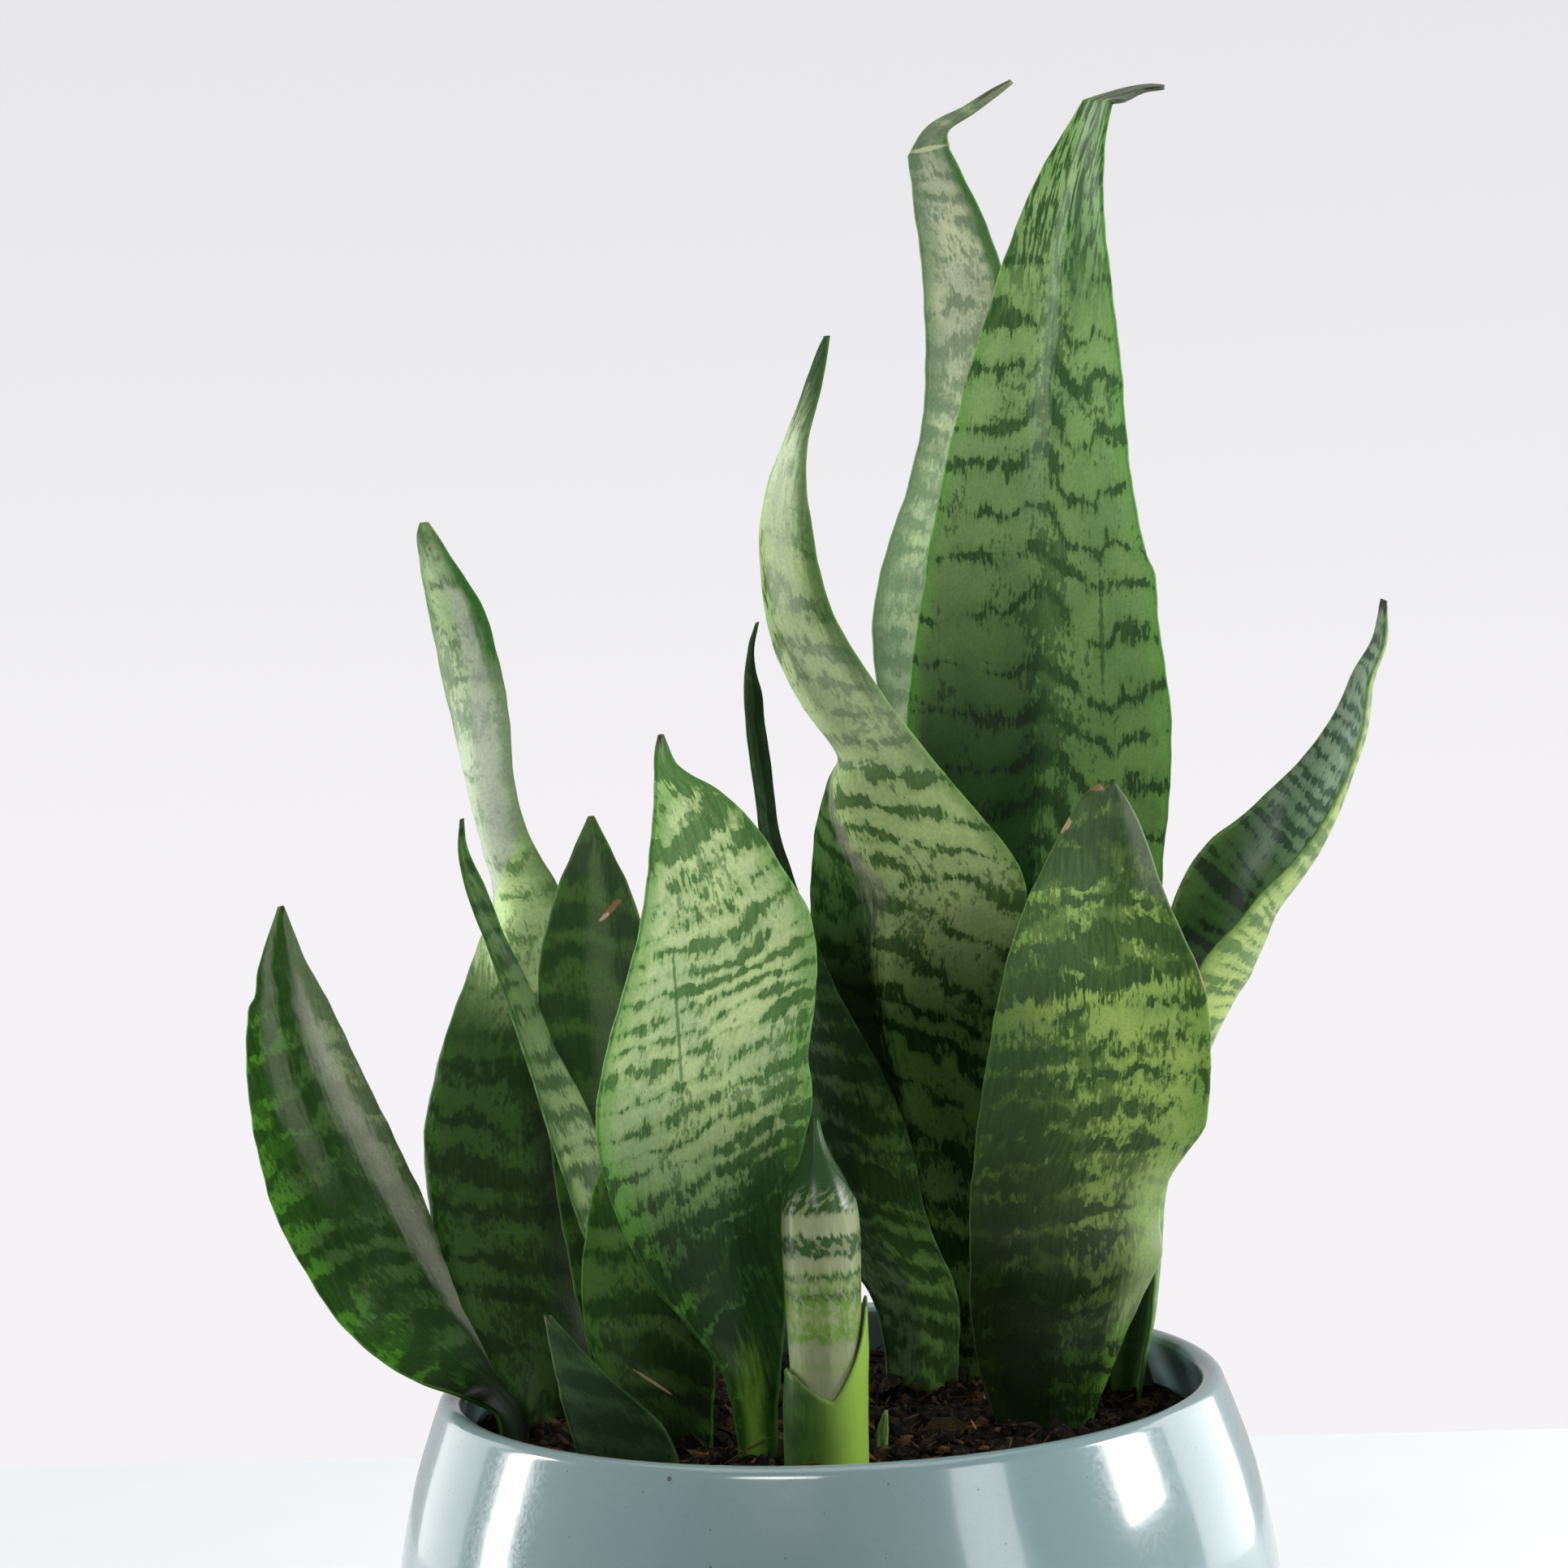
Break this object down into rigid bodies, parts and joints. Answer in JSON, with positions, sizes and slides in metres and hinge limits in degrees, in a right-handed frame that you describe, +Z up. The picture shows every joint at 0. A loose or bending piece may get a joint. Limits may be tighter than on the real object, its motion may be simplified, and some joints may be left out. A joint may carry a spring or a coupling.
{
  "type": "potted ceylon bowstring hemp",
  "caption": "Ceylon bowstring hemp with upright cross-banded sword leaves, rooted in soil in a round glazed ceramic pot.",
  "frame": {"origin": "middle of the pot's flat underside, on the surface it stands on", "axes": "+Z up along the pot towards the leaf tips, the viewer of the picture at -Y, +X to the right in the picture"},
  "size_m": [0.2149, 0.16, 0.3655],
  "materials": {
    "glaze": "glossy pale grey-green glaze with fine dark specks",
    "soil": "rough dark potting soil with bark crumbs",
    "leaf": "satin, dark green bands across a paler grey-green",
    "young_leaf": "satin, cream with green bands",
    "sheath": "satin green"
  },
  "bodies": {
    "root": {"pot": "glaze", "soil": "soil", "leaf_far_left": "leaf", "leaf_tall_left": "leaf", "leaf_pointed_left": "leaf", "leaf_narrow_left": "leaf", "leaf_front_broad": "leaf", "leaf_low_left": "leaf", "leaf_short_left": "leaf", "leaf_curved_middle": "leaf", "leaf_dark_middle": "leaf", "leaf_front_right": "leaf", "leaf_tallest": "leaf", "leaf_back_tall": "leaf", "leaf_right": "leaf", "sprout_front": "leaf", "leaf_rolled_front": "young_leaf", "sheath_front": "sheath"}
  },
  "joints": []
}
